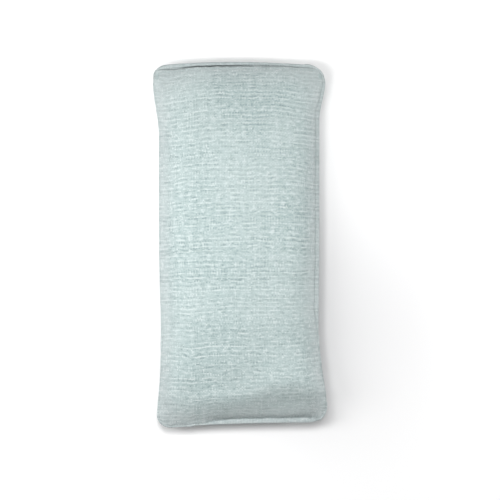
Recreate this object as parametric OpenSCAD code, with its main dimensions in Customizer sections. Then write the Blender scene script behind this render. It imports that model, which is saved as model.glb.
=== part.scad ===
// Eye pillow: a linen slip cover, sewn on three sides and open at its head end,
// over a muslin bag filled with flaxseed and a few lavender buds.
// X is the width, Y the length (the mouth of the cover is at +Y), Z is up.
// The origin is the middle of the footprint, on the surface that the pillow lies on.

/* [Cover] */
// Length of the cover, end to end
cover_len = 229; // [210:1:250]
// Width of the cover across its corners
cover_w = 108; // [98:1:118]
// How far each long side is drawn in at its middle by the filling
side_pull = 3.5; // [0:0.5:5]
// Radius of the corners seen from above
corner_r = 6; // [4:0.5:9]
// Height of the filled pillow where it is thickest
pillow_h = 26; // [22:0.5:30]
// Height of the side seams above the surface
seam_z = 8.5; // [7:0.5:10]
// Thickness of the linen
linen_t = 0.6; // [0.5:0.05:0.8]

/* [Mouth] */
// How far the back lip reaches past the front lip
lip_step = 2.5; // [1.5:0.5:3]
// Height of the slot between the two lips
mouth_gap = 2.8; // [2.6:0.1:3.2]
// Depth of the flap that tucks in over the insert
flap_depth = 50; // [35:1:60]
// Thickness of the flap
flap_t = 0.5; // [0.4:0.05:0.6]

/* [Insert] */
// How much shorter and narrower the insert is than the cover, on each side
insert_margin = 3.5; // [3:0.5:5]
// Thickness of the muslin
muslin_t = 0.4; // [0.3:0.05:0.5]

/* [Sewing] */
// Distance from one stitch to the next
stitch_pitch = 3; // [2.5:0.5:4]
// Length of the thread that shows in each stitch
stitch_len = 2.2; // [1.6:0.1:2.4]
// Radius of the sewing thread
thread_r = 0.25; // [0.2:0.05:0.3]

/* [Filling] */
// Number of lavender buds
bud_count = 14; // [6:1:20]

/* [Hidden] */

LINEN = "#c2d1d0";
THREAD = "#a9bab9";
MUSLIN = "#e9e1cf";
FLAX = "#8b5a2b";
LAVENDER = "#6d6796";

// half sizes of each bag, measured to its outside
cover_half = [cover_w / 2, cover_len / 2];
insert_half = cover_half - [insert_margin, insert_margin + 0.5];
fill_inset = 1.2;
fill_half = insert_half - [fill_inset, fill_inset];

// the cloth of the cover, the flap and two small gaps lie between the pillow's top and the insert
layer_gap = 0.45;
cover_crown = pillow_h - seam_z;
insert_crown = cover_crown - linen_t - flap_t - 2 * layer_gap;
fill_gap = 0.3;
fill_crown = insert_crown - muslin_t - fill_gap;

// the underside would bulge further down than the surface that it lies flat on
cover_drop = seam_z * 1.9;
insert_drop = cover_drop * 0.9;
fill_drop = cover_drop * 0.8;
floor_gap = 0.3;
// a thin patch makes the flat facets of the underside one face; shares of the width and length
rest_share = [0.55, 0.78];

// powers of the crown's profile across the width and along the length
across = [2.4, 0.62];
along = [6, 0.8];

// rings of points, from the outline in to the middle
ring_count = 11;
ring_power = 1.8;
arc_steps = 3;
long_steps = 15;
short_steps = 8;

// the lips part over this length at the mouth
mouth_run = 9;
head_power = 8;
tube_sides = 8;
seam_clear = 0.15;
hem_inset = 2.2;
close_inset = 3;
bartack_len = 6;
bartack_r = 0.6;

// shares of a bag's width that the flap and the rows of stitches take up
flap_share = 0.86;
stitched_share = 0.84;
flap_rows = 14;
flap_columns = 18;
// the flap's free edge stops short of the fold by this much, and it leaves the insert here
fold_short = 0.05;
flap_leave = 0.3;
flap_bend = 1.2;

// the buds lie this deep under the top of the filling, within these shares of its half sizes
bud_r = 1.4;
bud_depth = 3.3;
bud_spread = [0.75, 0.8];
golden_angle = 137.5;

function smooth(t) = let (c = min(max(t, 0), 1)) c * c * (3 - 2 * c);

// the rounded rectangle of one bag, anticlockwise from the foot of its right side
function run(p, q, steps) = [for (i = [1 : steps - 1]) p + (q - p) * i / steps];
function arc(middle, from) =
  [for (i = [0 : arc_steps])
    let (a = from + 90 * i / arc_steps) middle + corner_r * [cos(a), sin(a)]];
function outline(half) =
  let (x = half[0], y = half[1], cx = x - corner_r, cy = y - corner_r)
  concat(
    run([x, -cy], [x, cy], long_steps), arc([cx, cy], 0),
    run([cx, y], [-cx, y], short_steps), arc([-cx, cy], 90),
    run([-x, cy], [-x, -cy], long_steps), arc([-cx, -cy], 180),
    run([-cx, -y], [cx, -y], short_steps), arc([cx, -cy], 270));

// how full the bag is at a place given as shares of its half sizes, from 0 at its edge to 1
function crown(u, v) =
  pow(max(0, 1 - pow(abs(u), across[0])), across[1])
  * pow(max(0, 1 - pow(abs(v), along[0])), along[1]);

// the long sides are drawn in between the corners
function waist(v) = 1 - 2 * side_pull / cover_w * (1 - v * v);

// height above or below the seam, for a bag of this crown
function top_z(u, v, rise) = seam_z + rise * crown(u, v);
function under_z(u, v, drop, low) = max(low, seam_z - drop * crown(u, v));

// how far open the mouth is at a point this far along
function parting(y) = smooth((y - cover_half[1] + mouth_run) / mouth_run);

function scale_at(i) = 1 - pow(i / ring_count, ring_power);

// A surface is upper(rise) or lower(drop, low), and at the mouth its lip is cut back by step
// and parts from the other lip by gap.
function upper(rise, step = 0, gap = 0) = [1, rise, 0, step, gap];
function lower(drop, low, gap = 0) = [-1, drop, low, 0, gap];
function side_of(s) = s[0];
function height_of(s, u, v) = s[0] > 0 ? top_z(u, v, s[1]) : under_z(u, v, s[1], s[2]);
function step_of(s) = s[3];
function gap_of(s) = s[4];

// one ring of a surface; the first lies on the seam
function ring(half, i, s) =
  [for (p = outline(half))
    let (
      share = scale_at(i),
      u = share * p[0] / half[0],
      v = share * p[1] / half[1],
      y = share * p[1] - step_of(s) * pow(max(0, v), head_power),
      z = i == 0 ? seam_z : height_of(s, u, v))
    [share * p[0] * waist(v), y, z + side_of(s) * gap_of(s) * parting(y)]];

// the rings of a surface, and the middle point that closes it
function skin(half, s) =
  concat(
    [for (i = [0 : ring_count - 1]) each ring(half, i, s)],
    [[0, 0, height_of(s, 0, 0)]]);

// faces of one surface, whose points start at the number given
function skin_faces(first, n, flip) =
  [for (i = [0 : ring_count - 2], k = [0 : n - 1])
    let (
      a = first + i * n + k, b = first + i * n + (k + 1) % n,
      quad = [b, a, a + n, b + n])
    each [for (t = [[0, 1, 2], [0, 2, 3]])
      flip ? [quad[t[2]], quad[t[1]], quad[t[0]]] : [for (j = t) quad[j]]]];
function hub_faces(first, n, flip) =
  let (last = first + (ring_count - 1) * n, middle = first + ring_count * n)
  [for (k = [0 : n - 1])
    let (a = last + k, b = last + (k + 1) % n) flip ? [a, b, middle] : [b, a, middle]];
function rim_faces(first, second, n, flip) =
  [for (k = [0 : n - 1])
    let (m = (k + 1) % n, a = first + k, b = first + m, c = second + m, d = second + k)
    each flip ? [[c, b, a], [d, c, a]] : [[a, b, c], [a, c, d]]];

// one panel of a bag: two surfaces and the cut edge between them
module panel(half, thickness, outer, inner) {
  n = len(outline(half));
  size = ring_count * n + 1;
  faces_up = side_of(outer) > 0;
  polyhedron(
    points = concat(skin(half, outer), skin(half - [thickness, thickness], inner)),
    faces = concat(
      skin_faces(0, n, !faces_up), hub_faces(0, n, !faces_up),
      skin_faces(size, n, faces_up), hub_faces(size, n, faces_up),
      rim_faces(0, size, n, !faces_up)),
    convexity = 6);
}

// a solid filling, closed by an upper and a lower surface that share their outline
module body_of(half, rise, drop, low) {
  n = len(outline(half));
  // the lower surface's first ring is the upper one's, so its faces use that
  size = ring_count * n + 1;
  join = function (f) [for (j = f) j < size + n && j >= size ? j - size : j];
  polyhedron(
    points = concat(skin(half, upper(rise)), skin(half, lower(drop, low))),
    faces = concat(
      skin_faces(0, n, false), hub_faces(0, n, false),
      [for (f = skin_faces(size, n, true)) join(f)], hub_faces(size, n, true)),
    convexity = 4);
}

// a thread swept along a route of points
module thread_along(route, r) {
  last = len(route) - 1;
  circle_at = function (k)
    let (
      d = route[min(k + 1, last)] - route[max(k - 1, 0)],
      flow = d / norm(d),
      side = [flow[1], -flow[0], 0] / norm([flow[0], flow[1]]),
      up = cross(side, flow))
    [for (j = [0 : tube_sides - 1])
      let (a = 360 * j / tube_sides) route[k] + r * (cos(a) * side + sin(a) * up)];
  polyhedron(
    points = [for (k = [0 : last]) each circle_at(k)],
    faces = concat(
      [for (k = [0 : last - 1], j = [0 : tube_sides - 1])
        let (a = k * tube_sides + j, b = k * tube_sides + (j + 1) % tube_sides)
        each [[a, b, b + tube_sides], [a, b + tube_sides, a + tube_sides]]],
      [[for (j = [tube_sides - 1 : -1 : 0]) j]],
      [[for (j = [0 : tube_sides - 1]) last * tube_sides + j]]),
    convexity = 4);
}

// the part of an outline that is sewn: down the left side, across the foot and up the right
function sewn_route(half) =
  let (
    all = outline(half),
    n = len(all),
    // the left side begins after the right side, the first corner, the head and the second
    start = long_steps - 1 + 2 * (arc_steps + 1) + short_steps - 1,
    stop = n + long_steps - 2)
  [for (k = [start : stop])
    let (p = all[k % n]) [p[0] * waist(p[1] / half[1]), p[1], seam_z]];

// one stitch, lying across the pillow
module stitch(length) {
  rotate([0, 90, 0]) cylinder(h = length, r = thread_r, center = true, $fn = 16);
}

// a row of stitches at the heights that a function of x gives
module stitch_row(half_w, y, height_at) {
  count = floor(half_w / stitch_pitch);
  for (k = [-count : count])
    translate([k * stitch_pitch, y, height_at(k * stitch_pitch)]) stitch(stitch_len);
}

// the flap's underside: on the back lip at the mouth, then over the insert
function insert_top(x, y) =
  let (v = min(1, y / insert_half[1]), u = min(1, abs(x) / (insert_half[0] * waist(v))))
  top_z(u, v, insert_crown);
function flap_z(x, y) =
  let (
    end = insert_half[1],
    lip = smooth((y - end - flap_leave) / (cover_half[1] - end - flap_bend)))
  (1 - lip) * (insert_top(x, y) + layer_gap) + lip * (seam_z - mouth_gap / 2);

module cover_front() {
  color(LINEN)
    panel(cover_half, linen_t,
      upper(cover_crown, lip_step, mouth_gap / 2),
      upper(cover_crown - linen_t, lip_step, mouth_gap / 2));
}

module cover_back() {
  rest = [rest_share[0] * cover_w, rest_share[1] * cover_len, linen_t / 2];
  color(LINEN)
    union() {
      panel(cover_half, linen_t,
        lower(cover_drop, 0, mouth_gap / 2),
        lower(cover_drop, linen_t, mouth_gap / 2));
      translate([-rest[0] / 2, -rest[1] / 2, 0]) cube(rest);
    }
}

module tuck_flap() {
  start = cover_half[1] - flap_depth;
  // rows are closer together near the fold
  row_y = function (j) let (t = j / flap_rows) start + (flap_depth - fold_short) * t * (2 - t);
  half_w = function (y) flap_share * cover_half[0] * waist(y / cover_half[1]);
  point = function (i, j, lift)
    let (y = row_y(j), x = (2 * i / flap_columns - 1) * half_w(y))
    [x, y, flap_z(x, y) + lift];
  n = flap_columns + 1;
  size = n * (flap_rows + 1);
  edge = concat(
    [for (i = [0 : flap_columns - 1]) i],
    [for (j = [0 : flap_rows - 1]) j * n + flap_columns],
    [for (i = [flap_columns : -1 : 1]) flap_rows * n + i],
    [for (j = [flap_rows : -1 : 1]) j * n]);
  color(LINEN)
    polyhedron(
      points = [for (lift = [0, flap_t], j = [0 : flap_rows], i = [0 : flap_columns])
        point(i, j, lift)],
      faces = concat(
        [for (j = [0 : flap_rows - 1], i = [0 : flap_columns - 1])
          let (a = j * n + i) each [[a, a + 1, a + n + 1], [a, a + n + 1, a + n]]],
        [for (j = [0 : flap_rows - 1], i = [0 : flap_columns - 1])
          let (a = size + j * n + i) each [[a + n + 1, a + 1, a], [a + n, a + n + 1, a]]],
        [for (k = [0 : len(edge) - 1])
          let (a = edge[k], b = edge[(k + 1) % len(edge)])
          each [[b, a, a + size], [b, a + size, b + size]]]),
      convexity = 4);
}

module cover_seam_thread() {
  inset = linen_t + seam_clear;
  color(THREAD) thread_along(sewn_route(cover_half - [inset, inset]), thread_r);
}

module front_hem_stitches() {
  y = cover_half[1] - lip_step - hem_inset;
  v = y / (cover_half[1] - lip_step);
  top = function (x)
    top_z(x / (cover_half[0] * waist(v)), v, cover_crown) + mouth_gap / 2 * parting(y);
  color(THREAD) stitch_row(cover_half[0] * stitched_share, y, top);
}

module flap_stitches() {
  y = cover_half[1] - lip_step / 2;
  color(THREAD)
    stitch_row(cover_half[0] * stitched_share, y, function (x) flap_z(x, y) + flap_t);
}

module mouth_bartacks() {
  y = cover_half[1] - corner_r - bartack_len;
  inset = linen_t + bartack_r;
  for (side = [-1, 1])
    color(THREAD)
      translate([side * (cover_half[0] * waist(y / cover_half[1]) - inset), y, seam_z])
        rotate([-90, 0, 0])
          cylinder(h = bartack_len, r = bartack_r, $fn = 24);
}

module insert_front() {
  color(MUSLIN)
    panel(insert_half, muslin_t,
      upper(insert_crown),
      upper(insert_crown - muslin_t));
}

module insert_back() {
  low = linen_t + floor_gap;
  color(MUSLIN)
    panel(insert_half, muslin_t,
      lower(insert_drop, low),
      lower(insert_drop, low + muslin_t));
}

module insert_seam_thread() {
  inset = muslin_t + seam_clear;
  color(THREAD) thread_along(sewn_route(insert_half - [inset, inset]), thread_r);
}

module insert_closing_stitches() {
  y = insert_half[1] - close_inset;
  color(THREAD)
    stitch_row(insert_half[0] * stitched_share, y, function (x) insert_top(x, y));
}

module flaxseed_fill() {
  low = linen_t + floor_gap + muslin_t + fill_gap;
  color(FLAX) body_of(fill_half, fill_crown, fill_drop, low);
}

module lavender_buds() {
  // a spiral spreads the buds through the upper part of the filling
  reach = [bud_spread[0] * fill_half[0], bud_spread[1] * fill_half[1]];
  for (k = [0 : bud_count - 1]) {
    t = sqrt((k + 0.5) / bud_count);
    x = reach[0] * t * cos(golden_angle * k);
    y = reach[1] * t * sin(golden_angle * k);
    z = top_z(x / fill_half[0], y / fill_half[1], fill_crown) - bud_depth;
    color(LAVENDER) translate([x, y, z]) sphere(r = bud_r, $fn = 24);
  }
}

cover_front();
cover_back();
tuck_flap();
cover_seam_thread();
front_hem_stitches();
flap_stitches();
mouth_bartacks();
insert_front();
insert_back();
insert_seam_thread();
insert_closing_stitches();
flaxseed_fill();
lavender_buds();
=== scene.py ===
"""Eye pillow: a linen slip cover, open at its head end, over a muslin bag of flaxseed.

The bag's shape comes from a cloth simulation of two flat panels sewn together and filled. Every
piece of cloth is then laid over that shape. Lengths are in metres. A "flat" place on the cloth is
(x, y) from its middle before it was filled, with x across the pillow and y towards its head.
"""
import bpy
from mathutils.bvhtree import BVHTree
import math
import numpy as np
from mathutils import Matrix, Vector, noise


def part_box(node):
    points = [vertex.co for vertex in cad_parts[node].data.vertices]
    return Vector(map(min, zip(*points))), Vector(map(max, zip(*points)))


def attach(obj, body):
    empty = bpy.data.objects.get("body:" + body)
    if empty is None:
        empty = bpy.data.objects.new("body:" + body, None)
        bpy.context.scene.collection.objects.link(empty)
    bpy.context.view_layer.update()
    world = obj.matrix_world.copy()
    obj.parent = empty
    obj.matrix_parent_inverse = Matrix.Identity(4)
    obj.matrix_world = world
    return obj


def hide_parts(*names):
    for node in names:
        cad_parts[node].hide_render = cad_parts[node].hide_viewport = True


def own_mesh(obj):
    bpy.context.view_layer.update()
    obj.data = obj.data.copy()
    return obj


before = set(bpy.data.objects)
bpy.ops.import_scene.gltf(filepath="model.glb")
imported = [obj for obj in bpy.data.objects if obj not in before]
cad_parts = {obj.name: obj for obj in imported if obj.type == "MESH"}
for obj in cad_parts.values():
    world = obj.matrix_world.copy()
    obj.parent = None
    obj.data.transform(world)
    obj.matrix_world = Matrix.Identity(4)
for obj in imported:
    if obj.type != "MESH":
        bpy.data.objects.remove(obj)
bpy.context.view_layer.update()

MM = 0.001
# The seam's height is the middle of the seam thread, which is half a millimetre thick
TOP_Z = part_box("cover_front")[1].z
SEAM_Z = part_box("cover_seam_thread")[0].z + 0.25 * MM
BODY_COVER, BODY_INSERT, SLIDE = "cover", "insert", "insert_slide"

# The cover as it was cut, and the radius of each turned corner (left or right, foot or head)
COVER_FLAT = (108 * MM, 229 * MM)
HALF = np.array(COVER_FLAT) / 2
CORNERS = {(-1, 1): 8 * MM, (1, 1): 11.5 * MM, (-1, -1): 9 * MM, (1, -1): 11 * MM}

# The tuck flap as it was cut
FLAP_FLAT = (94 * MM, 50 * MM)

LINEN_T, FLAP_T, MUSLIN_T = 0.5 * MM, 0.4 * MM, 0.35 * MM
STITCH_PITCH, STITCH_LENGTH, THREAD_R = 3.0 * MM, 2.1 * MM, 0.24 * MM
TUBE_SIDES = 8


# ---------------------------------------------------------------- helpers

def ease(t):
    """0 to 1, smooth at both ends."""
    t = np.clip(t, 0, 1)
    return t * t * (3 - 2 * t)


def unit(v):
    return v / np.maximum(np.linalg.norm(v, axis=-1, keepdims=True), 1e-12)


def bumps(points, size, seed):
    """Smooth noise from -1 to 1 at each point, with features of this size."""
    shift = Vector((seed * 3.1, seed * 7.7, seed * 1.3))
    return np.array([noise.noise(Vector(p) / size + shift) for p in points.reshape(-1, 3)]
                    ).reshape(points.shape[:-1])


def graded(half, fine, coarse, growth=1.25):
    """Places from -half to half, close together at both ends and further apart inside."""
    steps, step, total = [], fine, 0
    while total < half:
        steps.append(step)
        total += step
        step = min(step * growth, coarse)
    run = np.cumsum(steps) / total * half
    side = np.concatenate([[0], run]) - half
    return np.concatenate([side, -side[-2::-1]])


def loop_of(rows, columns):
    """The numbers of a grid's border points in order, anticlockwise from its first."""
    grid = np.arange(rows * columns).reshape(rows, columns)
    return np.concatenate([grid[0, :-1], grid[:-1, -1], grid[-1, :0:-1], grid[:0:-1, 0]])


def grid_faces(rows, columns, down=False):
    grid = np.arange(rows * columns).reshape(rows, columns)
    quads = np.stack([grid[:-1, :-1], grid[:-1, 1:], grid[1:, 1:], grid[1:, :-1]], -1)
    quads = quads.reshape(-1, 4)
    return quads[:, ::-1] if down else quads


def mesh_piece(name, points, faces, material, cloth=None):
    """A smooth mesh object. cloth holds each point's flat place, which the weave follows."""
    mesh = bpy.data.meshes.new(name)
    mesh.from_pydata(points.tolist(), [], [tuple(int(k) for k in f) for f in faces])
    mesh.polygons.foreach_set("use_smooth", [True] * len(mesh.polygons))
    if cloth is not None:
        kept = mesh.attributes.new("cloth", "FLOAT_VECTOR", "POINT")
        kept.data.foreach_set("vector", cloth.astype(np.float32).ravel())
    mesh.materials.append(material)
    piece = bpy.data.objects.new(name, mesh)
    bpy.context.scene.collection.objects.link(piece)
    return piece


def as_made(piece):
    """Applies the piece's modifiers to its mesh."""
    now = bpy.context.evaluated_depsgraph_get()
    mesh = bpy.data.meshes.new_from_object(
        piece.evaluated_get(now), preserve_all_data_layers=True, depsgraph=now)
    piece.modifiers.clear()
    old, piece.data = piece.data, mesh
    bpy.data.meshes.remove(old)
    return piece


def thicken(piece, thickness):
    """Gives a sheet its thickness, inwards."""
    modifier = piece.modifiers.new("thickness", "SOLIDIFY")
    modifier.thickness, modifier.offset = thickness, -1
    return as_made(piece)


def place(piece, body, slot, *nodes):
    """The piece rides on the body and stands for those CAD nodes."""
    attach(piece, body)
    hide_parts(*nodes)
    if body == BODY_COVER:
        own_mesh(piece)
    return piece


# ---------------------------------------------------------------- the filled bag's shape

# The simulation's cells across and along, its length, and the volume it fills to in cubic metres
SIM_COLUMNS, SIM_ROWS, SIM_FRAMES = 40, 84, 46
SIM_VOLUME = 380e-6
START_SWELL, START_ROUGHNESS, START_SEED = 2 * MM, 0.15 * MM, 3


def even_grid():
    """The simulated panels' grid, from -1 to 1 both ways."""
    return np.meshgrid(np.linspace(-1, 1, SIM_COLUMNS + 1), np.linspace(-1, 1, SIM_ROWS + 1))


def turned_corners(x, y):
    """Moves the corners of a rectangular grid onto round ones."""
    new_x, new_y = x.copy(), y.copy()
    for (side, end), radius in CORNERS.items():
        core = HALF - radius
        a = (side * x - core[0]) / radius
        b = (end * y - core[1]) / radius
        here = (a > 0) & (b > 0)
        a, b = a[here], b[here]
        new_x[here] = side * (core[0] + radius * a * np.sqrt(1 - b * b / 2))
        new_y[here] = end * (core[1] + radius * b * np.sqrt(1 - a * a / 2))
    return new_x, new_y


def sewn_bag():
    """Two flat panels sewn round their edge: start points, faces, and both panels' numbers."""
    x, y = even_grid()
    swell = START_SWELL * (1 - x**2) * (1 - y**2)
    x, y = turned_corners(x * HALF[0], y * HALF[1])
    upper = np.arange(x.size).reshape(x.shape)
    inner = np.zeros(x.shape, bool)
    inner[1:-1, 1:-1] = True
    lower = upper.copy()
    lower[inner] = x.size + np.arange(inner.sum())
    points = np.concatenate([
        np.stack([x, y, swell], -1).reshape(-1, 3), np.stack([x, y, -swell], -1)[inner]])
    points += np.random.default_rng(START_SEED).normal(0, START_ROUGHNESS, points.shape)
    faces = np.concatenate([
        numbers.ravel()[grid_faces(SIM_ROWS + 1, SIM_COLUMNS + 1, down)]
        for numbers, down in ((upper, False), (lower, True))])
    return points, faces, upper, lower


def filled_bag():
    """Both panels' points once the bag is filled, as two grids."""
    points, faces, upper, lower = sewn_bag()
    bag = mesh_piece("bag", points, faces, None)
    modifier = bag.modifiers.new("cloth", "CLOTH")
    settings = modifier.settings
    settings.quality = 6
    settings.tension_stiffness = settings.compression_stiffness = 15
    settings.shear_stiffness, settings.bending_stiffness = 5, 0.5
    settings.air_damping = 5
    settings.use_pressure = settings.use_pressure_volume = True
    settings.uniform_pressure_force = 0
    settings.target_volume, settings.pressure_factor = SIM_VOLUME, 10
    settings.effector_weights.gravity = 0
    modifier.collision_settings.use_collision = False
    modifier.point_cache.frame_start, modifier.point_cache.frame_end = 1, SIM_FRAMES
    for step in range(1, SIM_FRAMES + 1):
        bpy.context.scene.frame_set(step)
    as_made(bag)
    points = np.empty(len(bag.data.vertices) * 3)
    bag.data.vertices.foreach_get("co", points)
    bpy.data.objects.remove(bag)
    bpy.context.scene.frame_set(1)
    points = points.reshape(-1, 3)
    return points[upper], points[lower]


# How much of the simulated cloth's chance wrinkling stays, how many rounds even out the rest, and
# how many cells from the edge they reach their full strength
WRINKLE, CALM_ROUNDS, CALM_CELLS = 0.3, 60, 8

# The finished outline: how far from the middle line the long sides lie, how far each is drawn in
# at its waist, and how far each corner flares out (by how much, from how far along, over how long)
SIDE_X = {-1: 50.7 * MM, 1: 50.6 * MM}
WAIST = {-1: 1.3 * MM, 1: 0.5 * MM}
WAIST_Y, WAIST_RUN = -56 * MM, 34 * MM
FLARE = {(-1, 1): (3.8 * MM, 70 * MM, 35 * MM), (1, 1): (3.8 * MM, 80 * MM, 25 * MM),
         (-1, -1): (1.4 * MM, 80 * MM, 30 * MM), (1, -1): (4.7 * MM, 60 * MM, 44 * MM)}
# Both short edges bow out in the middle and slant
HEAD_Y, HEAD_BOW, HEAD_TILT = 112.6 * MM, 2.7 * MM, -0.3 * MM
FOOT_Y, FOOT_BOW, FOOT_TILT = -114.8 * MM, 0.9 * MM, 1.6 * MM


def calm(grid):
    """Evens out most of a panel's chance wrinkling, but keeps the roundness of its edges."""
    even = sum(grid[::b, ::a] * (a, b, 1) for a in (1, -1) for b in (1, -1)) / 4
    rows, columns = grid.shape[:2]
    row, column = np.meshgrid(np.arange(rows), np.arange(columns), indexing="ij")
    from_edge = np.minimum(np.minimum(row, rows - 1 - row), np.minimum(column, columns - 1 - column))
    share = np.clip(from_edge / CALM_CELLS, 0, 1)[1:-1, 1:-1, None]
    for _ in range(CALM_ROUNDS):
        around = (even[:-2, 1:-1] + even[2:, 1:-1] + even[1:-1, :-2] + even[1:-1, 2:]) / 4
        even[1:-1, 1:-1] += share * (around - even[1:-1, 1:-1])
    return even + WRINKLE * (grid - even)


def side_x(side, y):
    """How far from the middle line one long side lies, at places along it."""
    reach = SIDE_X[side] - WAIST[side] * np.exp(-((y - WAIST_Y) / WAIST_RUN)**2)
    for end in (1, -1):
        extra, start, run = FLARE[side, end]
        reach = reach + extra * ease((end * y - start) / run)
    return reach


def outline(x, y):
    """Where the flat places on the bag's edge lie once it is filled."""
    u, v = x / HALF[0], y / HALF[1]
    head = HEAD_Y + HEAD_BOW * (1 - u**2) + HEAD_TILT * u
    foot = FOOT_Y + FOOT_BOW * (1 - u**2) + FOOT_TILT * u
    out_x = u * np.where(u < 0, side_x(-1, y), side_x(1, y))
    return np.stack([out_x, foot + (head - foot) * (v + 1) / 2], -1)


def blended(change):
    """Spreads the changes along a grid's four edges smoothly over all of it."""
    rows, columns = change.shape[:2]
    t = np.linspace(0, 1, rows)[:, None, None]
    s = np.linspace(0, 1, columns)[None, :, None]
    left, right, foot, head = change[:, :1], change[:, -1:], change[:1], change[-1:]
    corners = ((1 - t) * ((1 - s) * foot[:, :1] + s * foot[:, -1:])
               + t * ((1 - s) * head[:, :1] + s * head[:, -1:]))
    return (1 - s) * left + s * right + (1 - t) * foot + t * head - corners


# Above 1 the filling spreads out to the left and right sides, so that the top is flatter and the
# sides are steeper
FULLNESS = (1.6, 2.4)
# Where the filling is fuller or thinner than the simulation leaves it, by what share, and over
# what distance. At the foot the place and the distance differ from left to right.
MIDDLE_MORE, MIDDLE_WIDTH, MIDDLE_LENGTH = 0.2, 25 * MM, 105 * MM
HEAD_LESS, HEAD_LESS_AT, HEAD_LESS_RUN = 0.2, 28 * MM, 20 * MM
FOOT_MORE, FOOT_MORE_LEFT = 0.5, 0.25
FOOT_MORE_AT, FOOT_MORE_RUN = (14.5 * MM, 24.5 * MM), (9 * MM, 13 * MM)
# The lower side is flat on the floor where this is well above 1, and round towards the seam
FLATTENED = 1.7


def between(pair, share):
    """The value that lies this share of the way from the pair's first to its second."""
    return pair[0] + (pair[1] - pair[0]) * share


def from_left(x):
    """0 at the left end of the foot and 1 from a third of the way along it."""
    return ease((x + 36 * MM) / (26 * MM))


def settled(x, y):
    """How the filling's height changes as it settles: full in the middle and towards the foot,
    and thinning out slowly towards the head."""
    from_head, from_foot = HALF[1] - y, HALF[1] + y
    middle = MIDDLE_MORE * np.exp(-(x / MIDDLE_WIDTH)**2) * np.exp(-(y / MIDDLE_LENGTH)**4)
    thin_head = HEAD_LESS * np.exp(-((from_head - HEAD_LESS_AT) / HEAD_LESS_RUN)**2)
    far_right = ease((x + 5 * MM) / (35 * MM))
    near = (from_foot - between(FOOT_MORE_AT, far_right)) / between(FOOT_MORE_RUN, far_right)
    full_foot = FOOT_MORE * between((FOOT_MORE_LEFT, 1), from_left(x)) * np.exp(-near**2)
    return 1 + middle - thin_head + full_foot


def shaped(upper, lower):
    """Fits the simulated bag to its finished outline and lays it down on a flat surface."""
    upper, lower = calm(upper), calm(lower)
    x, y = even_grid()
    x, y = turned_corners(x * HALF[0], y * HALF[1])
    for grid in (upper, lower):
        grid[..., :2] += blended(outline(x, y) - grid[..., :2])
    middle = (upper[0].mean(0)[2] + upper[-1].mean(0)[2]) / 2
    rise = np.maximum(upper[..., 2] - middle, 0)
    top = rise.max(1, keepdims=True)
    fullness = between(FULLNESS, (x / HALF[0] + 1) / 2)
    rise = top * (1 - (1 - rise / top)**fullness) * settled(x, y)
    upper[..., 2] = SEAM_Z + rise * (TOP_Z - SEAM_Z) / rise.max()
    drop = np.maximum(middle - lower[..., 2], -0.2 * MM)
    sunk = FLATTENED * drop / drop.max()
    lower[..., 2] = SEAM_Z * (1 - sunk / (1 + np.abs(sunk)**6)**(1 / 6))
    border = loop_of(*upper.shape[:2])
    lower.reshape(-1, 3)[border] = upper.reshape(-1, 3)[border]
    return upper, lower


# A surface's normal is taken over this step, and this far in from its edges and its corners
NORMAL_STEP = 1.2 * MM
NORMAL_INSET = (0.3 * MM, 2.7 * MM)

# The bags inside: the seam's ledges leave less room at the right and at the foot, their corners
# are drawn in by these shares more, and they stay this much further down under the tuck flap
INNER_SHIFT = np.array([-0.8 * MM, -0.4 * MM, 0])
CORNER_DRAW = np.array([0.075, 0.035, 0])
FLAP_ROOM, FLAP_REACH = 1.0 * MM, 56 * MM


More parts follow.
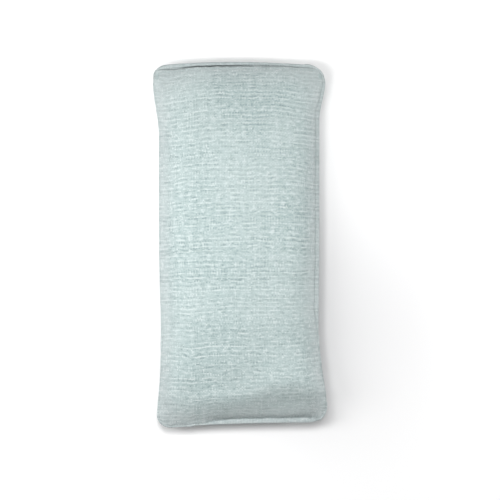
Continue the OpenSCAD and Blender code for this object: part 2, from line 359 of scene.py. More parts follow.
class Bag:
    """The filled shape, which can be asked for the point at any flat place on either panel."""

    def __init__(self, upper, lower, rolled=False):
        self.grids = {"front": self.padded(upper), "back": self.padded(lower)}
        self.rolled = rolled

    @staticmethod
    def padded(grid):
        """The grid with one more row and column past each edge, straight on from the last two."""
        for axis in (0, 1):
            grid = np.moveaxis(grid, axis, 0)
            grid = np.concatenate([2 * grid[:1] - grid[1:2], grid, 2 * grid[-1:] - grid[-2:-1]])
            grid = np.moveaxis(grid, 0, axis)
        return grid

    def at(self, panel, x, y):
        """Points of a panel at flat places, on a smooth curve through the simulated ones."""
        grid = self.grids[panel]
        where = []
        for value, half, cells in ((y, HALF[1], SIM_ROWS), (x, HALF[0], SIM_COLUMNS)):
            spot = np.clip((np.asarray(value) / half + 1) / 2 * cells, 0, cells)
            cell = np.minimum(spot.astype(int), cells - 1)
            t = (spot - cell)[..., None]
            weights = ((-t + 2 * t**2 - t**3) / 2, (2 - 5 * t**2 + 3 * t**3) / 2,
                       (t + 4 * t**2 - 3 * t**3) / 2, (t**3 - t**2) / 2)
            where.append((cell, weights))
        (row, row_w), (column, column_w) = where
        points = sum(row_w[a] * column_w[b] * grid[row + a, column + b]
                     for a in range(4) for b in range(4))
        return rolled_edge(points, x, y) if self.rolled and panel == "front" else points

    def out(self, panel, x, y):
        """Outward normals of a panel at flat places, from just inside its edge and corners."""
        near_end, near_side = [
            between(NORMAL_INSET, ease((np.abs(v) - half + 9 * MM) / (6 * MM)))
            for v, half in ((y, HALF[1]), (x, HALF[0]))]
        x = np.clip(x, near_end - HALF[0], HALF[0] - near_end)
        y = np.clip(y, near_side - HALF[1], HALF[1] - near_side)
        across = (self.at(panel, np.minimum(x + NORMAL_STEP, HALF[0]), y)
                  - self.at(panel, np.maximum(x - NORMAL_STEP, -HALF[0]), y))
        along = (self.at(panel, x, np.minimum(y + NORMAL_STEP, HALF[1]))
                 - self.at(panel, x, np.maximum(y - NORMAL_STEP, -HALF[1])))
        normal = unit(np.cross(across, along))
        return normal if panel == "front" else -normal

    def within(self, factors, room):
        """A smaller bag that fits inside this one, with this much room left under its surface."""
        middle = np.array([0, 0, SEAM_Z])
        x, y = even_grid()
        x, y = x * HALF[0], y * HALF[1]
        inner = {key: self.at(key, x, y) for key in self.grids}
        skin = np.concatenate([inner[key].reshape(-1, 3) for key in ("front", "back")])
        quads = [grid_faces(*x.shape), grid_faces(*x.shape, down=True) + x.size]
        tree = BVHTree.FromPolygons(skin.tolist(), np.concatenate(quads).tolist())
        corner = (np.abs(x) / HALF[0])**4 * (np.abs(y) / HALF[1])**8
        drawn_in = 1 - corner[..., None] * CORNER_DRAW
        for key, grid in inner.items():
            grid = (grid - middle) * np.array(factors) * drawn_in + middle + INNER_SHIFT
            for cell in np.ndindex(grid.shape[:2]):
                point = Vector(grid[cell])
                under_flap = ease((point.y - (HALF[1] - FLAP_REACH)) / (8 * MM))
                needed = room + FLAP_ROOM * float(under_flap)
                near, normal, _, _ = tree.find_nearest(point)
                short = (point - near).dot(normal) + needed
                if short > 0:
                    grid[cell] = point - normal * short
            inner[key] = grid
        border = loop_of(*x.shape)
        edge = sum(grid.reshape(-1, 3)[border] for grid in inner.values()) / 2
        for grid in inner.values():
            grid.reshape(-1, 3)[border] = edge
        return Bag(inner["front"], inner["back"])


# ---------------------------------------------------------------- seams

GROOVE_DEPTH, GROOVE_WIDTH = 0.45 * MM, 0.7 * MM
PUCKER_REACH, PUCKER_HEIGHT, PUCKER_SIZE = 5 * MM, 0.2 * MM, 4.5 * MM
# How far in each loop of a panel's turned-in edge lies
TUCK_STEPS = (0.9 * MM, 1.8 * MM)
# The seam lies this far up on the front, where the back panel rolls round the edge: at the right,
# at the foot, at the head (left and right end), and everywhere else
RIGHT_ROLL, FOOT_ROLL = 2.3 * MM, 3.3 * MM
HEAD_ROLL = (2.2 * MM, 0.7 * MM)
LEAST_ROLL = 0.3 * MM
# How far in from an edge its roll moves the cloth
ROLL_RUN = 24 * MM
# The ledge at the foot: its rise above the seam, and where the slope behind it starts and how long
# it is, in widths of the ledge
RIM_HEIGHT = 0.8 * MM
SLOPE_START, SLOPE_RUN = 0.75, 1.2


def right_share(y):
    """How fully the back panel rolls round the right edge, from 0 to 1."""
    return ease((y + 62 * MM) / (22 * MM)) * ease((HALF[1] + 4 * MM - y) / (26 * MM))


def foot_share(x):
    """How fully the foot's seam rolls up into a ledge, from 0 to 1."""
    return from_left(x) * ease((HALF[0] + 3 * MM - x) / (16 * MM))


def head_roll(x):
    """How far the back lip shows past the front panel's hem: most at the left."""
    return between(HEAD_ROLL, np.clip((x + HALF[0]) / (1.9 * HALF[0]), 0, 1)**1.5)


def rolled_edge(points, x, y):
    """Flattens the foot's edge into the narrow ledge that the rolled seam makes, facing up."""
    share, t = foot_share(x), (HALF[1] + y) / FOOT_ROLL
    keep = 1 - share * (1 - ease((t - SLOPE_START) / SLOPE_RUN))
    rim = np.clip(1 - t, 0, 1)
    # the curve's highest point is 1
    swell = RIM_HEIGHT * share * 1.75 * rim**1.2 * (1 - rim)**0.35
    points = points.copy()
    points[..., 2] = SEAM_Z + (points[..., 2] - SEAM_Z) * keep + swell
    return points


def seam_place(x, y, gap=0.0):
    """Where a flat place of the front panel lies on the bag, drawn in so that its edge is the seam.

    At the head it stops short of the back panel's lip by the gap of the mouth.
    """
    near = [ease((side * v - (half - ROLL_RUN)) / ROLL_RUN)
            for v, half in ((x, HALF[0]), (y, HALF[1])) for side in (1, -1)]
    right = between((LEAST_ROLL, RIGHT_ROLL), right_share(y))
    foot = between((LEAST_ROLL, FOOT_ROLL), foot_share(x))
    new_x = x - right * near[0] + LEAST_ROLL * near[1]
    open_share = ease((HALF[0] - 3 * MM - np.abs(x)) / (8 * MM))
    new_y = y - (head_roll(x) + gap * open_share) * near[2] + foot * near[3]
    return new_x, new_y


def groove(distance):
    """The depth of the seam's groove at a distance from the seam."""
    return GROOVE_DEPTH * np.exp(-(distance / GROOVE_WIDTH)**2)


def flat_cloth(x, y):
    """Flat places as points at no height."""
    return np.stack([x, y, np.zeros_like(x)], -1)


def pucker(x, y, distance):
    """Small gathers that die away from a seam."""
    return PUCKER_HEIGHT * bumps(flat_cloth(x, y), PUCKER_SIZE, 4) * np.exp(-distance / PUCKER_REACH)


def tucked(points, cloth, faces, loop, inward, side, flip=False):
    """Adds the turned-in edge of a panel: loops that go in from its border."""
    last, count = loop, len(loop)
    for step in TUCK_STEPS:
        start = len(points)
        points = np.concatenate([points, points[loop] + inward * step])
        cloth = np.concatenate([cloth, cloth[loop] + side * step])
        ring = np.arange(start, start + count)
        a, b = np.stack([last, np.roll(last, -1)]), np.stack([ring, np.roll(ring, -1)])
        quads = np.stack([a[1], a[0], b[0], b[1]], -1)
        faces = np.concatenate([faces, quads[:, ::-1] if flip else quads])
        last = ring
    return points, cloth, faces


def outward_of(loop_points):
    """Directions out of a closed flat loop, in its plane."""
    along = np.roll(loop_points, -1, 0) - np.roll(loop_points, 1, 0)
    return unit(np.stack([along[:, 1], -along[:, 0], np.zeros(len(along))], -1))


# ---------------------------------------------------------------- panels

# How the filling shows through the cloth, as broad lumps and as seeds, and how far in from an
# edge it shows fully
LUMP_SIZE, LUMP_HEIGHT = 15 * MM, 0.12 * MM
SEED_SIZE, SEED_HEIGHT = 3.6 * MM, 0.04 * MM
EDGE_RUN = 12 * MM


def seeds_under(points):
    """How far the filling pushes the cloth out at each point."""
    return LUMP_HEIGHT * bumps(points, LUMP_SIZE, 1) + SEED_HEIGHT * bumps(points, SEED_SIZE, 2)


def flat_grid(fine, coarse):
    """Flat places all over a panel, closer together at its edges."""
    return np.meshgrid(graded(HALF[0], fine, coarse), graded(HALF[1], fine, coarse))


HEM_WIDTH, HEM_HEIGHT, HEM_STEP = 6.5 * MM, 0.35 * MM, 1.5 * MM
HEM_ROUNDING, HEM_ROUNDED_OVER = 0.6 * MM, 0.5 * MM
HEM_STITCH_IN, STITCH_DIMPLE, DIMPLE_WIDTH = 1.7 * MM, 0.3 * MM, 0.6 * MM
MOUTH_GAP = 1.2 * MM


def front_points(bag, x, y, open_head=True, rolled=True):
    """The front panel's outer surface at flat places."""
    on_x, on_y = seam_place(x, y, MOUTH_GAP if open_head else 0) if rolled else (x, y)
    points, out = bag.at("front", on_x, on_y), bag.out("front", on_x, on_y)
    from_side = np.minimum(HALF[0] - np.abs(x), y + HALF[1])
    from_head = HALF[1] - y
    lift = seeds_under(points) * ease(np.minimum(from_side, from_head) / EDGE_RUN)
    lift += pucker(x, y, from_side)
    lift -= groove(from_side) * ease((x + HALF[0]) / (20 * MM))
    if open_head:
        hem = HEM_HEIGHT * ease((HEM_WIDTH - from_head) / HEM_STEP)
        rounded = HEM_ROUNDING * np.exp(-(from_head / HEM_ROUNDED_OVER)**2)
        dimple = STITCH_DIMPLE * np.exp(-((from_head - HEM_STITCH_IN) / DIMPLE_WIDTH)**2)
        lift += (hem - rounded - dimple) * ease(from_side / (4 * MM))
    else:
        lift -= groove(from_head)
    return points + out * lift[..., None], out


def front_panel(name, bag, material, fine, coarse, open_head, rolled):
    """The front panel with its edges turned in, which is hemmed at the head if that is open."""
    x, y = flat_grid(fine, coarse)
    surface, out = front_points(bag, x, y, open_head, rolled)
    rows, columns = x.shape
    points, cloth = surface.reshape(-1, 3), flat_cloth(x, y).reshape(-1, 3)
    loop = loop_of(rows, columns)
    side = outward_of(cloth[loop])
    inward = unit(-out.reshape(-1, 3)[loop] - 0.5 * side)
    points, cloth, faces = tucked(
        points, cloth, grid_faces(rows, columns), loop, inward, side)
    return mesh_piece(name, points, faces, material, cloth)


def back_panel(name, bag, material, fine, coarse, rolled, bands=7):
    """The back panel, with the band of it that rolls round the edge onto the front."""
    x, y = flat_grid(fine, coarse)
    surface, out = bag.at("back", x, y), bag.out("back", x, y)
    from_edge = np.minimum(HALF[0] - np.abs(x), HALF[1] - np.abs(y))
    # where the back rests on the floor it stays flat
    lift = 0.6 * seeds_under(surface) * ease(from_edge / EDGE_RUN) * ease(surface[..., 2] / MM)
    if not rolled:
        lift = lift - groove(from_edge)
    surface = surface + out * lift[..., None]
    rows, columns = x.shape
    points, cloth = surface.reshape(-1, 3), flat_cloth(x, y).reshape(-1, 3)
    faces = grid_faces(rows, columns, down=True)
    loop = loop_of(rows, columns)
    edge_x, edge_y = x.ravel()[loop], y.ravel()[loop]
    side = outward_of(cloth[loop])
    normal = out.reshape(-1, 3)[loop]
    last = loop
    if rolled:
        seam_x, seam_y = seam_place(edge_x, edge_y)
        width = np.hypot(seam_x - edge_x, seam_y - edge_y)
        for k in range(1, bands + 1):
            t = k / bands
            band_x, band_y = edge_x + t * (seam_x - edge_x), edge_y + t * (seam_y - edge_y)
            normal = bag.out("front", band_x, band_y)
            band = bag.at("front", band_x, band_y) - normal * groove((1 - t) * width)[:, None]
            start = len(points)
            points = np.concatenate([points, band])
            cloth = np.concatenate([cloth, cloth[loop] + side * (t * width)[:, None]])
            ring = np.arange(start, start + len(loop))
            quads = np.stack([last, np.roll(last, -1), np.roll(ring, -1), ring], -1)
            faces = np.concatenate([faces, quads])
            last = ring
    inward = unit(-normal + 0.2 * side if rolled else -normal - 0.5 * side)
    points, cloth, faces = tucked(points, cloth, faces, last, inward, side, flip=True)
    return mesh_piece(name, points, faces, material, cloth)


# What is lower than this rests on the floor
REST_HEIGHT = 1.0 * MM


def softened(piece):
    """Smooths a panel's fold, but leaves what lies on the floor."""
    modifier = piece.modifiers.new("soften", "SMOOTH")
    modifier.iterations, modifier.factor = 4, 0.5
    group = piece.vertex_groups.new(name="fold")
    high = [v.index for v in piece.data.vertices if v.co.z > REST_HEIGHT]
    group.add(high, 1.0, "REPLACE")
    modifier.vertex_group = "fold"
    return as_made(piece)


# ---------------------------------------------------------------- thread

# The thread's last ring, as a share of its radius
END_TAPER = 0.35


def tube(path, radius, sides=TUBE_SIDES):
    """Points and faces of a round thread along a path, with closed ends."""
    path = np.asarray(path, float)
    flow = unit(np.gradient(path, axis=0))
    across = unit(np.cross(flow, np.array([0.13, 0.29, 1.0])))
    up = np.cross(across, flow)
    angles = np.linspace(0, 2 * math.pi, sides, endpoint=False)
    shrink = np.ones(len(path))
    shrink[0] = shrink[-1] = END_TAPER
    rings = path[:, None] + radius * shrink[:, None, None] * (
        np.cos(angles)[None, :, None] * across[:, None]
        + np.sin(angles)[None, :, None] * up[:, None])
    numbers = np.arange(rings.shape[0] * sides).reshape(-1, sides)
    turned = np.roll(numbers, -1, 1)
    quads = np.stack([numbers[:-1], turned[:-1], turned[1:], numbers[1:]], -1).reshape(-1, 4)
    faces = [tuple(f) for f in quads[:, ::-1]] + [tuple(numbers[0]), tuple(numbers[-1][::-1])]
    return rings.reshape(-1, 3), faces


def threads(name, paths, radius, material):
    """One piece made of many separate lengths of thread."""
    points, faces, cloth = [], [], []
    for path in paths:
        more, quads = tube(path, radius)
        start = sum(len(p) for p in points)
        faces += [tuple(int(k) + start for k in f) for f in quads]
        points.append(more)
        length = np.linalg.norm(np.diff(path, axis=0), axis=1).sum()
        around = np.tile(np.arange(TUBE_SIDES) / TUBE_SIDES, len(path))
        along = np.repeat(np.linspace(0, length, len(path)), TUBE_SIDES)
        cloth.append(np.stack([along, around, np.full(len(along), float(len(points)))], -1))
    return mesh_piece(name, np.concatenate(points), faces, material, np.concatenate(cloth))


def stitch_path(ends, middle, out, sink, rise, steps=9):
    """One stitch from hole to hole: up out of the cloth, over it and down again."""
    t = np.linspace(0, 1, steps)[:, None]
    chord = ends[0] + (ends[1] - ends[0]) * t
    bend = 4 * t * (1 - t)
    height = -sink + (rise + sink) * np.minimum(1, bend * 1.5)
    return chord + (middle - (ends[0] + ends[1]) / 2) * bend + out * height


def stitch_row(surface, places, sink, rise):
    """Stitches along a line of flat places. surface(x, y) gives points and normals."""
    paths = []
    reach = STITCH_LENGTH / 2 * np.array([-1, 0, 1])
    for x, y, along_x, along_y in places:
        points, out = surface(x + reach * along_x, y + reach * along_y)
        paths.append(stitch_path(points[[0, 2]], points[1], out[1], sink, rise))
    return paths


def sewn(name, paths, body, material, radius=THREAD_R):
    """A row of stitches as one piece, which stands for the CAD node of the same name."""
    place(threads(name, paths, radius, material), body, "sewing_thread", name)


# ---------------------------------------------------------------- materials

class Nodes:
    """A short way to write a material's nodes."""

    def __init__(self, name):
        self.material = bpy.data.materials.new(name)
        self.material.use_nodes = True
        self.tree = self.material.node_tree
        self.tree.nodes.clear()
        self.shader = self.node("ShaderNodeBsdfPrincipled")
        out = self.node("ShaderNodeOutputMaterial")
        self.tree.links.new(self.shader.outputs[0], out.inputs["Surface"])

    def node(self, kind, **settings):
        made = self.tree.nodes.new(kind)
        for key, value in settings.items():
            setattr(made, key, value)
        return made

    def feed(self, socket, value):
        if isinstance(value, bpy.types.NodeSocket):
            self.tree.links.new(value, socket)
        elif value is not None:
            socket.default_value = value

    def math(self, operation, a, b=None, c=None):
        made = self.node("ShaderNodeMath", operation=operation)
        for socket, value in zip(made.inputs, (a, b, c)):
            self.feed(socket, value)
        return made.outputs[0]

    def times(self, a, b):
        return self.math("MULTIPLY", a, b)

    def plus(self, a, b):
        return self.math("ADD", a, b)

    def minus(self, a, b):
        return self.math("SUBTRACT", a, b)

    def line(self, value, slope, start):
        """value * slope + start"""
        return self.math("MULTIPLY_ADD", value, slope, start)

    def spread(self, value, low, high, to_low=0.0, to_high=1.0):
        """0 below low and 1 above high, or to_low and to_high, with a smooth rise between."""
        made = self.node("ShaderNodeMapRange", interpolation_type="SMOOTHSTEP")
        for key, item in (("Value", value), ("From Min", low), ("From Max", high),
                          ("To Min", to_low), ("To Max", to_high)):
            self.feed(made.inputs[key], item)
        return made.outputs["Result"]

    def vector(self, x, y, z=0.0):
        made = self.node("ShaderNodeCombineXYZ")
        for socket, value in zip(made.inputs, (x, y, z)):
            self.feed(socket, value)
        return made.outputs[0]

    def noise(self, vector, scale=1.0, detail=2.0, roughness=0.5):
        made = self.node("ShaderNodeTexNoise")
        self.feed(made.inputs["Vector"], vector)
        made.inputs["Scale"].default_value = scale
        made.inputs["Detail"].default_value = detail
        made.inputs["Roughness"].default_value = roughness
        return made.outputs["Fac"]

    def random(self, value):
        made = self.node("ShaderNodeTexWhiteNoise", noise_dimensions="1D")
        self.feed(made.inputs["W"], value)
        return made.outputs["Value"]

    def mix(self, factor, a, b):
        made = self.node("ShaderNodeMix", data_type="RGBA")
        self.feed(made.inputs["Factor"], factor)
        self.feed(made.inputs["A"], a)
        self.feed(made.inputs["B"], b)
        return made.outputs["Result"]

    def split(self, vector):
        made = self.node("ShaderNodeSeparateXYZ")
        self.feed(made.inputs[0], vector)
        return made.outputs

    def here(self):
        """The place that the mesh keeps with each point, in metres."""
        return self.node("ShaderNodeAttribute", attribute_name="cloth").outputs["Vector"]

    def bump(self, height, distance, strength=1.0, under=None):
        made = self.node("ShaderNodeBump")
        made.inputs["Strength"].default_value = strength
        made.inputs["Distance"].default_value = distance
        self.feed(made.inputs["Height"], height)
        self.feed(made.inputs["Normal"], under)
        return made.outputs[0]

    def finish(self, colour, normal, roughness, sheen=0.0, sheen_roughness=0.5, specular=0.2):
        self.feed(self.shader.inputs["Base Color"], colour)
        self.feed(self.shader.inputs["Normal"], normal)
        self.feed(self.shader.inputs["Roughness"], roughness)
        self.shader.inputs["Sheen Weight"].default_value = sheen
        self.shader.inputs["Sheen Roughness"].default_value = sheen_roughness
        self.shader.inputs["Specular IOR Level"].default_value = specular
        return self.material


def thread_set(n, at, along, pitch, seed):
    """Parallel threads: their numbers, round crowns, shades, slow changes along them and slubs."""
    row = n.math("DIVIDE", at, pitch)
    number = n.math("FLOOR", row)
    off = n.line(n.minus(row, number), 2.0, -1.0)
    crown = n.minus(1.0, n.times(off, off))
    shade = n.random(n.plus(number, seed))
    run = n.noise(n.vector(n.times(along, 0.17), n.times(number, 5.37), seed), detail=2.0)
    thick = n.noise(n.vector(n.times(along, 0.20), n.times(number, 3.71), seed + 7.0), detail=1.0)
    return number, crown, shade, run, n.spread(thick, 0.60, 0.72)


def thread_tone(n, of_threads, amount, slub):
    """How light each thread is along its length."""
    _, _, shade, run, thick = of_threads
    level = n.line(shade, 0.5 * amount, 0.5 - 0.25 * amount)
    level = n.line(run, 1.3 * amount, n.minus(level, 0.65 * amount))
    return n.line(thick, slub, level)


def woven(name, dark, mid, light, pitch, streak, slub, sheen, contrast, heavy):
    """Plain-woven cloth: weft threads across, warp threads along, each of uneven thickness.

    Every third weft thread is heavier than the rest in places, by the amount heavy. The pattern's
    places are in millimetres.
    """
    n = Nodes(name)
    x, y = [n.times(axis, 1000.0) for axis in n.split(n.here())[:2]]
    # the threads wander from their straight lines
    wander = n.noise(n.vector(x, y), scale=0.035, detail=1.0)
    wander_more = n.noise(n.vector(x, y, 9.0), scale=0.11, detail=1.0)
    weft_at = n.line(wander, 3.5, n.line(wander_more, 0.7, y))
    warp_at = n.line(n.noise(n.vector(y, x, 4.0), scale=0.04, detail=1.0), 2.0, x)
    weft = thread_set(n, weft_at, x, pitch, 0.0)
    warp = thread_set(n, warp_at, y, pitch, 50.0)
    # 1 where the weft lies over the warp
    over = n.math("MODULO", n.math("ABSOLUTE", n.plus(weft[0], warp[0])), 2.0)
    over = n.math("GREATER_THAN", over, 0.5)
    weft_tone = thread_tone(n, weft, streak, slub)
    warp_tone = thread_tone(n, warp, 0.6 * streak, 0.6 * slub)
    level = n.line(over, n.minus(weft_tone, warp_tone), warp_tone)
    height = n.line(over, n.minus(weft[1], warp[1]), warp[1])
    # broad streaks across the cloth, over two or three threads at a time
    band = n.noise(n.vector(n.times(x, 0.27), n.times(weft_at, 0.62)), detail=2.0, roughness=0.6)
    level = n.line(n.minus(band, 0.5), 1.7 * streak, level)
    # lighter on each thread's crown and darker between threads: painted shade of the weave
    level = n.line(n.minus(height, 0.6), 0.2, level)
    # every third weft thread, in patches
    third = n.times(n.math("COSINE", n.times(weft[0], 2 * math.pi / 3)), 0.5)
    patch = n.noise(n.vector(n.times(x, 0.17), n.times(weft_at, 0.12), 31.0), detail=1.0)
    level = n.plus(level, n.times(third, n.spread(patch, 0.3, 0.65, 0.0, heavy)))
    grain = n.noise(n.vector(x, y, 40.0), scale=1.3, detail=2.0, roughness=0.7)
    level = n.line(n.minus(grain, 0.5), 0.5, level)
    level = n.line(n.minus(level, 0.5), contrast, 0.5)
    colour = n.mix(n.spread(level, 0.0, 0.5), dark, mid)
    colour = n.mix(n.spread(level, 0.5, 1.0), colour, light)
    # greyer towards the edges of the cloth: painted reflection of the white floor
    across = n.math("POWER", n.math("ABSOLUTE", n.math("DIVIDE", x, 1000 * HALF[0])), 6.0)
    along = n.math("POWER", n.math("ABSOLUTE", n.math("DIVIDE", y, 1000 * HALF[1])), 9.0)
    painted_reflection = n.spread(n.plus(across, along), 0.05, 1.0, 0.0, 0.35)
    grey = [sum(mid[:3]) / 3 * t for t in (0.985, 0.995, 1.02)]
    colour = n.mix(painted_reflection, colour, (*grey, 1))
    # faded in broad patches
    fade = n.noise(n.vector(x, y, 21.0), scale=0.028, detail=1.0)
    colour = n.mix(n.spread(fade, 0.35, 0.75, 0.0, 0.22), colour, light)
    relief = n.plus(height, n.line(weft[4], 0.9, n.times(band, 1.4)))
    fuzz = n.noise(n.vector(x, y, 2.0), scale=4.5, detail=3.0, roughness=0.7)
    normal = n.bump(relief, 0.16 * MM, 0.8)
    normal = n.bump(fuzz, 0.06 * MM, 0.5, under=normal)
    roughness = n.spread(level, 0.0, 1.0, 0.95, 0.78)
    return n.finish(colour, normal, roughness, sheen=sheen, sheen_roughness=0.45)


TURNS_PER_METRE = 1400.0
FLAX_CELLS, LAVENDER_RIBS = 380, 900.0


def thread_material(name, dark, light):
    """Twisted sewing thread: its cloth place is (length along, share of a turn, stitch)."""
    n = Nodes(name)
    along, around, stitch = n.split(n.here())
    twist = n.line(along, TURNS_PER_METRE, around)
    ply = n.math("SINE", n.times(twist, 2 * math.pi))
    level = n.spread(ply, -1.0, 1.0)
    level = n.line(n.random(stitch), 0.3, n.times(level, 0.7))
    return n.finish(n.mix(level, dark, light), n.bump(ply, 0.05 * MM, 0.7), 0.7, sheen=0.2)


def flax_material():
    """Flaxseeds: glossy brown cells, each of its own tone, with painted shade in the gaps between
    them.
    """
    n = Nodes("flaxseed")
    cells = n.node("ShaderNodeTexVoronoi")
    n.feed(cells.inputs["Vector"], n.here())
    cells.inputs["Scale"].default_value = FLAX_CELLS
    level = n.split(cells.outputs["Color"])[0]
    colour = n.mix(level, (0.10, 0.032, 0.012, 1), (0.36, 0.16, 0.06, 1))
    # near black towards each cell's edge: painted shade in the gaps between the seeds
    colour = n.mix(n.spread(cells.outputs["Distance"], 0.45, 0.75), colour, (0.03, 0.012, 0.006, 1))
    return n.finish(colour, n.bump(cells.outputs["Distance"], 0.5 * MM, -0.7), 0.32, specular=0.5)


def lavender_material():
    """Dried buds: purple-grey, finely ribbed."""
    n = Nodes("lavender")
    ribs = n.noise(n.here(), scale=LAVENDER_RIBS, detail=3.0)
    colour = n.mix(n.spread(ribs, 0.35, 0.65), (0.10, 0.085, 0.16, 1), (0.30, 0.25, 0.42, 1))
    return n.finish(colour, n.bump(ribs, 0.2 * MM, 0.8), 0.85, sheen=0.3)


# The white floor's colour, and the painted shade on it: its colour, middle and reach
FLOOR_WHITE, FLOOR_PAINTED_SHADE = (0.97, 0.97, 0.97, 1), (0.66, 0.66, 0.665, 1)
PAINTED_SHADE_AT, PAINTED_SHADE_REACH = (0.04, -0.045, 0), 0.10


def floor_material():
    """A white sweep with painted shade in the middle, where the lamps are closest, set off to the
    right and below so that it deepens the pillow's shadow.
    """
    n = Nodes("floor")
    away = n.node("ShaderNodeVectorMath", operation="DISTANCE")
    n.feed(away.inputs[0], n.node("ShaderNodeTexCoord").outputs["Object"])
    away.inputs[1].default_value = PAINTED_SHADE_AT
    far = n.math("DIVIDE", away.outputs["Value"], PAINTED_SHADE_REACH)
    # painted shade: strongest at its middle, fading out over its reach
    middle = n.math("EXPONENT", n.times(n.times(far, far), -1.0))
    colour = n.mix(middle, FLOOR_WHITE, FLOOR_PAINTED_SHADE)
    return n.finish(colour, None, 0.9, specular=0.1)


# ---------------------------------------------------------------- making

LINEN = woven("linen", dark=(0.235, 0.30, 0.30, 1), mid=(0.365, 0.446, 0.444, 1),
              light=(0.52, 0.585, 0.58, 1), pitch=0.9, streak=0.6, slub=0.45, sheen=0.12,
              contrast=1.4, heavy=0.34)
MUSLIN = woven("muslin", dark=(0.60, 0.54, 0.42, 1), mid=(0.78, 0.72, 0.60, 1),
               light=(0.90, 0.86, 0.76, 1), pitch=0.5, streak=0.3, slub=0.15, sheen=0.1,
               contrast=1.0, heavy=0.0)
THREAD = thread_material("sewing_thread", (0.29, 0.36, 0.36, 1), (0.48, 0.55, 0.55, 1))
NATURAL = thread_material("natural_thread", (0.62, 0.56, 0.45, 1), (0.85, 0.80, 0.68, 1))

# Cell sizes at the edges and inside: of the cover, of the muslin and of the filling
COVER_GRID = (0.3 * MM, 1.15 * MM)
MUSLIN_GRID = (0.5 * MM, 1.6 * MM)
FILL_GRID = (1.0 * MM, 1.3 * MM)

# The cover's shape, and the muslin bag's and the filling's inside it
SHAPE = Bag(*shaped(*filled_bag()), rolled=True)
INSERT_SHAPE = SHAPE.within((0.905, 0.935, 0.9), room=1.5 * MM)
FILL_SHAPE = SHAPE.within((0.865, 0.905, 0.82), room=2.4 * MM)


def on_cover(x, y):
    """The cover's front at flat places."""
    return front_points(SHAPE, x, y)


def on_insert(x, y):
    """The muslin bag's front at flat places."""
    return front_points(INSERT_SHAPE, x, y, open_head=False, rolled=False)


def make_cover():
    front = front_panel("cover_front", SHAPE, LINEN, *COVER_GRID, open_head=True, rolled=True)
    back = back_panel("cover_back", SHAPE, LINEN, *COVER_GRID, rolled=True)
    back = softened(back)
    for piece, node, inside in ((front, "cover_front", "insert_front"),
                                (back, "cover_back", "insert_back")):
        thicken(piece, LINEN_T)
        place(piece, BODY_COVER, "linen", node)


# The flap lies this deep under the front at the mouth and further in, starts this far in from the
# lip, and is cut from another place in the cloth
FLAP_DEPTH, FLAP_IN, FLAP_CELLS, FLAP_WEAVE_SHIFT = (2.1 * MM, 1.3 * MM), 1.0 * MM, (90, 50), 0.3


def flap_point(x, y):
    """The flap's outer surface: close under the front, then down to the back lip at the mouth."""
    on_x, on_y = seam_place(x, y)
    points, out = SHAPE.at("front", on_x, on_y), SHAPE.out("front", on_x, on_y)
    depth = between(FLAP_DEPTH, ease((HALF[1] - y - 2 * MM) / (10 * MM)))
    return points - out * depth[..., None], out


def make_flap():
    across, along = FLAP_CELLS
    x, y = np.meshgrid(np.linspace(-1, 1, across) * FLAP_FLAT[0] / 2,
                       HALF[1] - FLAP_IN - np.linspace(1, 0, along) * FLAP_FLAT[1])
    points, _ = flap_point(x, y)
    flap = mesh_piece("tuck_flap", points.reshape(-1, 3), grid_faces(*x.shape), LINEN,
                      flat_cloth(x + FLAP_WEAVE_SHIFT, y).reshape(-1, 3))
    thicken(flap, FLAP_T)
    place(flap, BODY_COVER, "linen", "tuck_flap")


def row_across(count, from_head):
    """Flat places of a row of stitches across the pillow, count to each side of its middle."""
    return [(k * STITCH_PITCH, HALF[1] - from_head, 1, 0) for k in range(-count, count + 1)]


def make_mouth_stitches():
    hem = row_across(int(0.92 * HALF[0] / STITCH_PITCH), HEM_STITCH_IN)
    paths = stitch_row(on_cover, hem, sink=0.25 * MM, rise=0.22 * MM)
    sewn("front_hem_stitches", paths, BODY_COVER, THREAD)
    lip = row_across(int(FLAP_FLAT[0] / 2 / STITCH_PITCH) - 1, 2.4 * MM)
    paths = stitch_row(flap_point, lip, sink=0.2 * MM, rise=0.15 * MM)
    sewn("flap_stitches", paths, BODY_COVER, THREAD)


BARTACK_STITCHES, BARTACK_PITCH, BARTACK_FROM_HEAD = 7, 0.55 * MM, 3.2 * MM


def make_bartacks():
    """Close zigzag stitches across each end of the mouth."""
    paths = []
    for side in (-1, 1):
        for k in range(BARTACK_STITCHES):
            y = HALF[1] - BARTACK_FROM_HEAD - k * BARTACK_PITCH
            xs = side * (HALF[0] - np.array([0.6, 1.6, 2.6]) * MM)
            points, out = on_cover(xs, np.full(3, y) + (k % 2) * 0.2 * MM)
            paths.append(stitch_path(points[[0, 2]], points[1], out[1], 0.2 * MM, 0.18 * MM))
    sewn("mouth_bartacks", paths, BODY_COVER, THREAD, THREAD_R * 0.8)


# The side seams' stitches keep off the corners, and at the cover's head off the bartacks
SEAM_IN, SEAM_CORNER, SEAM_HEAD = 0.12 * MM, 7 * MM, 12 * MM


def seam_line(from_head):
    """Flat places along the seam: down the left, across the foot and up the right."""
    right, top = HALF - SEAM_IN
    ys = np.arange(top - from_head, -top + SEAM_CORNER, -STITCH_PITCH)
    xs = np.arange(-right + SEAM_CORNER, right - SEAM_CORNER, STITCH_PITCH)
    return ([(-right, y, 0, -1) for y in ys] + [(x, -top, 1, 0) for x in xs]
            + [(right, y, 0, 1) for y in ys[::-1]])


def make_seam_threads():
    for name, surface, from_head, body, material in (
            ("cover_seam_thread", on_cover, SEAM_HEAD, BODY_COVER, THREAD),
            ("insert_seam_thread", on_insert, SEAM_CORNER, BODY_INSERT, NATURAL)):
        paths = stitch_row(surface, seam_line(from_head), sink=0.5 * MM, rise=-0.05 * MM)
        sewn(name, paths, body, material)


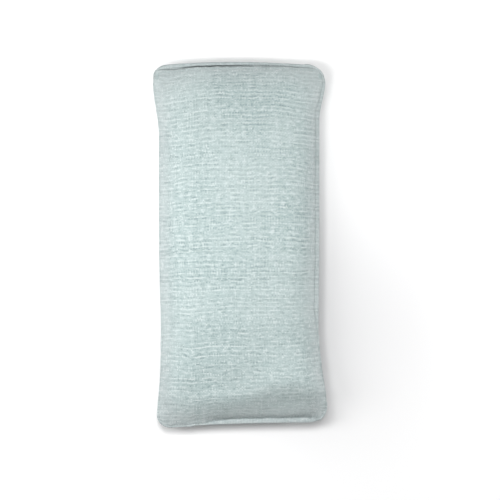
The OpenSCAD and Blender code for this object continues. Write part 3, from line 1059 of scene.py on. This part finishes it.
def make_insert():
    front = front_panel("insert_front", INSERT_SHAPE, MUSLIN, *MUSLIN_GRID,
                        open_head=False, rolled=False)
    back = back_panel("insert_back", INSERT_SHAPE, MUSLIN, *MUSLIN_GRID, rolled=False)
    for piece, node, below in ((front, "insert_front", "flaxseed_fill"),
                               (back, "insert_back", "cover_back")):
        thicken(piece, MUSLIN_T)
        place(piece, BODY_INSERT, "muslin", node)
    row = row_across(int(0.84 * HALF[0] / STITCH_PITCH), 3.0 * MM)
    paths = stitch_row(on_insert, row, sink=0.2 * MM, rise=0.2 * MM)
    sewn("insert_closing_stitches", paths, BODY_INSERT, NATURAL)


# The filling's surface: the seeds' spacing, their height, and how much they differ in height
SEED_PITCH, SEED_RISE, SEED_SPREAD = 2.6 * MM, 0.4 * MM, 0.08 * MM


def make_filling():
    """The flaxseed as one closed body whose surface is made of seeds."""
    x, y = flat_grid(*FILL_GRID)
    rows, columns = x.shape
    upper, lower = FILL_SHAPE.at("front", x, y), FILL_SHAPE.at("back", x, y)
    up, down = FILL_SHAPE.out("front", x, y), FILL_SHAPE.out("back", x, y)
    inside = np.zeros(x.shape, bool)
    inside[1:-1, 1:-1] = True
    numbers = np.arange(x.size).reshape(x.shape)
    below = numbers.copy()
    below[inside] = x.size + np.arange(inside.sum())
    points = np.concatenate([upper.reshape(-1, 3), lower[inside]])
    out = np.concatenate([up.reshape(-1, 3), down[inside]])
    seed = np.array([noise.cell(Vector(p) / SEED_PITCH) for p in points])
    nearest = np.array([noise.voronoi(Vector(p) / SEED_PITCH)[0][0] for p in points])
    lift = (0.4 - nearest) * SEED_RISE + (seed - 0.5) * SEED_SPREAD
    points = points + out * lift[:, None]
    faces = np.concatenate([grid_faces(rows, columns),
                            below.ravel()[grid_faces(rows, columns, down=True)]])
    fill = mesh_piece("flaxseed_fill", points, faces, flax_material(), points)
    place(fill, BODY_INSERT, "flaxseed", "flaxseed_fill")


BUD_COUNT, BUD_R, GOLDEN_ANGLE = 14, 1.4 * MM, math.radians(137.5)
BUD_RINGS, BUD_SIDES = 9, 12


def bud(middle, lean):
    """Points and faces of one ribbed bud that lies in the direction lean."""
    side, up = np.array([-lean[1], lean[0], 0]), np.array([0, 0, 1])
    points = []
    for s in np.linspace(0, 1, BUD_RINGS):
        width = BUD_R * (0.25 + 0.55 * math.sin(math.pi * min(1, s * 0.9 + 0.06)))
        for j in range(BUD_SIDES):
            a = 2 * math.pi * j / BUD_SIDES
            rib = width * (1 + 0.12 * (-1)**j)
            points.append(middle + lean * (s - 0.5) * 2.6 * BUD_R
                          + rib * (math.cos(a) * side + math.sin(a) * up))
    numbers = np.arange(BUD_RINGS * BUD_SIDES).reshape(-1, BUD_SIDES)
    turned = np.roll(numbers, -1, 1)
    quads = np.stack([numbers[:-1], turned[:-1], turned[1:], numbers[1:]], -1).reshape(-1, 4)
    return points, [*quads.tolist(), numbers[0][::-1].tolist(), numbers[-1].tolist()]


def make_lavender():
    """Small ribbed buds where the CAD has them, spread in a spiral."""
    low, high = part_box("flaxseed_fill")
    reach = np.array([0.75 * (high.x - low.x) / 2, 0.8 * (high.y - low.y) / 2])
    points, faces = [], []
    for k in range(BUD_COUNT):
        t = math.sqrt((k + 0.5) / BUD_COUNT)
        x, y = reach * t * (math.cos(GOLDEN_ANGLE * k), math.sin(GOLDEN_ANGLE * k))
        z = high.z - 4.5 * MM - 5 * MM * t**2
        more, quads = bud(np.array([x, y, z]), np.array([math.cos(k), math.sin(k), 0]))
        faces += [[number + len(points) for number in quad] for quad in quads]
        points += more
    points = np.array(points)
    buds = mesh_piece("lavender_buds", points, faces, lavender_material(), points)
    place(buds, BODY_INSERT, "lavender", "lavender_buds")


FLOOR_REACH = 3.0
CAMERA_X, CAMERA_Y, CAMERA_HEIGHT = 6.6 * MM, -3.8 * MM, 1.2
SENSOR_WIDTH, SHOWN_WIDTH = 36, 316.3 * MM
WORLD_STRENGTH = 0.44
# Name, place, what it points at, size in metres and power in watts
LAMPS = (
    ("side", (-0.34, -0.01, 0.26), (0, 0, 0), 0.22, 0.85),
    ("overhead", (-0.065, 0.01, 0.22), (-0.02, -0.01, 0), 0.10, 0.24),
    ("fill", (0.12, 0.46, 1.16), (0, 0, 0), 0.8, 5.9),
    ("rim", (0.50, 0, 0.12), (0, 0, 0), 0.15, 0.9),
)


def make_floor():
    corners = FLOOR_REACH * np.array([(-1, -1, 0), (1, -1, 0), (1, 1, 0), (-1, 1, 0)])
    floor = mesh_piece("floor", corners, [(0, 1, 2, 3)], floor_material())


def lamp(name, position, aim, size, power):
    """A round white area lamp."""
    data = bpy.data.lights.new(name, "AREA")
    data.shape, data.size, data.energy = "DISK", size, power
    made = bpy.data.objects.new(name, data)
    bpy.context.scene.collection.objects.link(made)
    made.location = position
    made.rotation_euler = (Vector(aim) - Vector(position)).to_track_quat("-Z", "Y").to_euler()


def make_camera():
    """Straight above, a little right of the middle and below it, on a long lens."""
    data = bpy.data.cameras.new("camera")
    data.sensor_width = SENSOR_WIDTH
    data.lens = SENSOR_WIDTH * CAMERA_HEIGHT / SHOWN_WIDTH
    camera = bpy.data.objects.new("camera", data)
    bpy.context.scene.collection.objects.link(camera)
    camera.location = (CAMERA_X, CAMERA_Y, SEAM_Z + CAMERA_HEIGHT)
    bpy.context.scene.camera = camera


def make_light():
    """Soft light from all round, and lamps from the left, from above and from the right."""
    world = bpy.data.worlds.new("studio")
    bpy.context.scene.world = world
    world.use_nodes = True
    background = world.node_tree.nodes["Background"]
    background.inputs["Color"].default_value = (1, 1, 1, 1)
    background.inputs["Strength"].default_value = WORLD_STRENGTH
    for settings in LAMPS:
        lamp(*settings)
    bpy.context.scene.view_settings.view_transform = "Standard"


make_camera()
make_light()
make_floor()
make_cover()
make_flap()
make_mouth_stitches()
make_bartacks()
make_seam_threads()
make_insert()
make_filling()
make_lavender()
